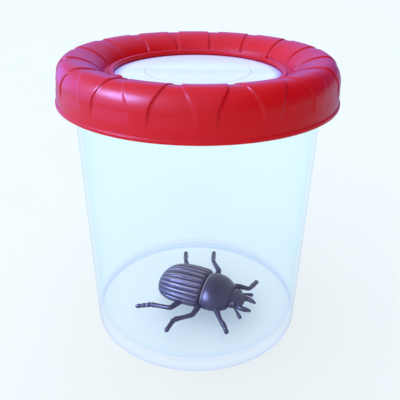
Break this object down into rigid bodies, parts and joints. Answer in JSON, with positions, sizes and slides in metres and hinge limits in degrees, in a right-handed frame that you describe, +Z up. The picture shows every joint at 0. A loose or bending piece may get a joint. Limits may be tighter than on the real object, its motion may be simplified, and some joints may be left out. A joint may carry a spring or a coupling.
{
  "type": "bug catcher jar",
  "caption": "Clear round collecting jar with a hollow lobed push-on lid, a magnifying lens held by a ring in its middle, and a toy beetle standing on its raised floor.",
  "frame": {"origin": "middle of the jar's foot, on the table", "axes": "+Z up along the jar's axis, -Y towards the front of the jar"},
  "size_m": [0.1118, 0.1118, 0.1208],
  "materials": {
    "clear_jar_plastic": "clear gloss",
    "red_lid_plastic": "satin gloss",
    "clear_lens_plastic": "clear gloss",
    "dark_beetle_plastic": "satin"
  },
  "bodies": {
    "jar": {"jar_body": "clear_jar_plastic"},
    "lid": {"lid_ring": "red_lid_plastic", "magnifier_lens": "clear_lens_plastic", "lens_retaining_ring": "red_lid_plastic"},
    "beetle": {"toy_beetle": "dark_beetle_plastic"}
  },
  "joints": [
    {"name": "lid_lift", "type": "slide", "parent": "jar", "child": "lid", "axis": [0, 0, 1], "range_m": [0, 0.045]},
    {"name": "beetle_lift", "type": "slide", "parent": "jar", "child": "beetle", "axis": [0, 0, 1], "range_m": [0, 0.08]}
  ]
}
